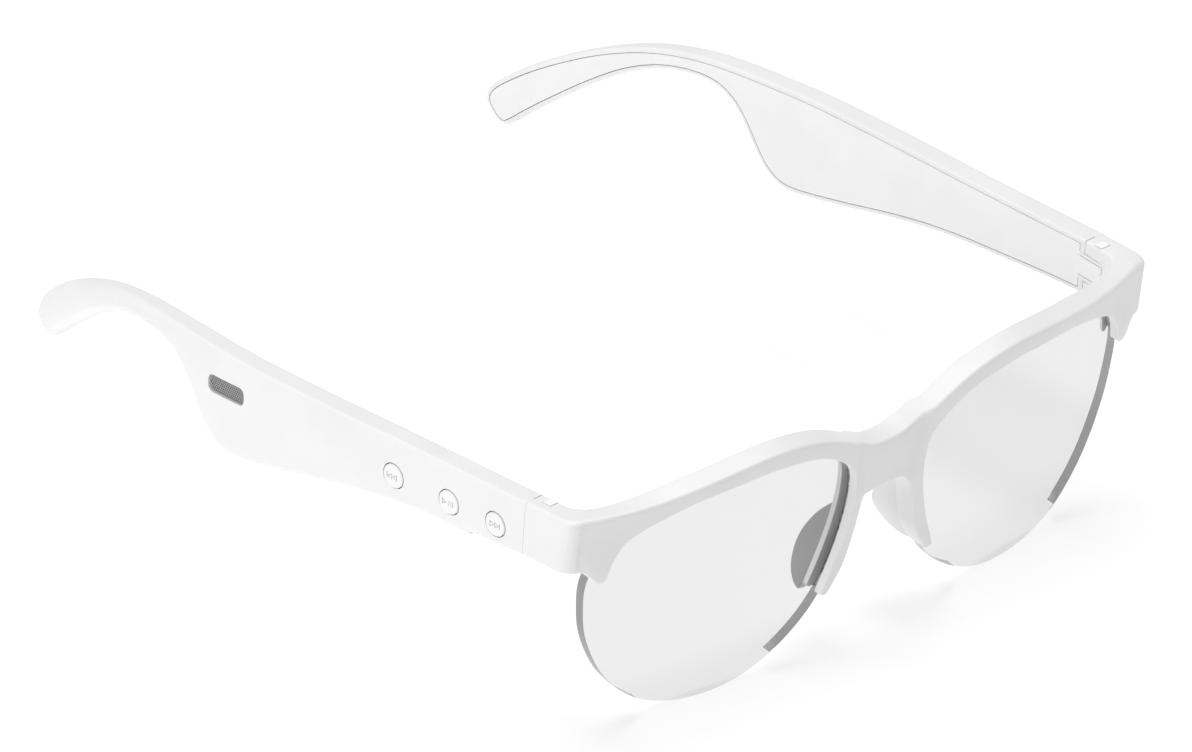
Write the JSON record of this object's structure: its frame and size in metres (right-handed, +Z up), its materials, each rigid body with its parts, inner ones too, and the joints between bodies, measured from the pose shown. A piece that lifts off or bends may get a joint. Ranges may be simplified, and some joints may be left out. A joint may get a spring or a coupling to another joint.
{
  "type": "smart glasses",
  "caption": "Half-rim glasses with clear lenses, nose pads, and folding temples that hold speakers behind grilles, batteries and a row of push buttons.",
  "frame": {"origin": "centre of the bounding box in plan, at the height of the lowest point of the lenses", "axes": "+X to the wearer's left, +Y back along the temples, +Z up; the fronts of the lenses face -Y"},
  "size_m": [0.1504, 0.1676, 0.0522],
  "materials": {
    "frame_white": "satin moulded plastic",
    "lens_clear": "clear polished lens with a faint grey cast",
    "pad_silicone": "soft matt silicone",
    "pin_steel": "turned steel",
    "cap_white": "smooth plastic",
    "temple_white": "satin moulded plastic",
    "cover_white": "satin moulded plastic",
    "bush_brass": "turned brass",
    "battery_foil": "foil pouch",
    "board_green": "solder mask",
    "module_shield": "tinned shield can",
    "speaker_basket": "moulded basket",
    "magnet_steel": "plated steel",
    "cone_film": "pressed film",
    "grille_grey": "perforated sheet, grey coating",
    "plate_white": "satin moulded plastic",
    "contact_gold": "gold plated",
    "switch_black": "moulded switch body",
    "button_white": "satin cap"
  },
  "bodies": {
    "front": {"front_frame": "frame_white", "lens_left": "lens_clear", "lens_right": "lens_clear", "nose_pad_left": "pad_silicone", "nose_pad_right": "pad_silicone", "hinge_pin_left": "pin_steel", "hinge_pin_right": "pin_steel", "pin_cap_left": "cap_white", "pin_cap_right": "cap_white"},
    "temple_left": {"temple_shell_left": "temple_white", "temple_cover_left": "cover_white", "hinge_bush_left": "bush_brass", "battery_left": "battery_foil", "circuit_board_left": "board_green", "audio_module_left": "module_shield", "speaker_frame_left": "speaker_basket", "speaker_magnet_left": "magnet_steel", "speaker_cone_left": "cone_film", "speaker_grille_left": "grille_grey", "microphone_left": "module_shield", "charging_plate_left": "plate_white", "charging_pins_left": "contact_gold"},
    "temple_right": {"temple_shell_right": "temple_white", "temple_cover_right": "cover_white", "hinge_bush_right": "bush_brass", "battery_right": "battery_foil", "circuit_board_right": "board_green", "audio_module_right": "module_shield", "speaker_frame_right": "speaker_basket", "speaker_magnet_right": "magnet_steel", "speaker_cone_right": "cone_film", "speaker_grille_right": "grille_grey", "microphone_right": "module_shield", "charging_plate_right": "plate_white", "charging_pins_right": "contact_gold", "button_switches": "switch_black"},
    "cap_previous": {"button_previous": "button_white"},
    "cap_play_pause": {"button_play_pause": "button_white"},
    "cap_next": {"button_next": "button_white"}
  },
  "joints": [
    {"name": "temple_left_fold", "type": "hinge", "parent": "front", "child": "temple_left", "pos_m": [0.0701, -0.0637, 0.04322], "axis": [0, -0.0872, 0.9962], "range_deg": [0, 85.5]},
    {"name": "temple_right_fold", "type": "hinge", "parent": "front", "child": "temple_right", "pos_m": [-0.0701, -0.0637, 0.04322], "axis": [0, 0.0872, -0.9962], "range_deg": [0, 66.5]},
    {"name": "button_previous_press", "type": "slide", "parent": "temple_right", "child": "cap_previous", "axis": [0.9994, 0.0345, 0], "range_m": [0, 0.0003], "stiffness_N_per_m": 300, "springref_m": -0.0008},
    {"name": "button_play_pause_press", "type": "slide", "parent": "temple_right", "child": "cap_play_pause", "axis": [0.9997, 0.0246, 0], "range_m": [0, 0.0003], "stiffness_N_per_m": 300, "springref_m": -0.0008},
    {"name": "button_next_press", "type": "slide", "parent": "temple_right", "child": "cap_next", "axis": [0.9995, 0.0302, 0], "range_m": [0, 0.0003], "stiffness_N_per_m": 300, "springref_m": -0.0008}
  ]
}
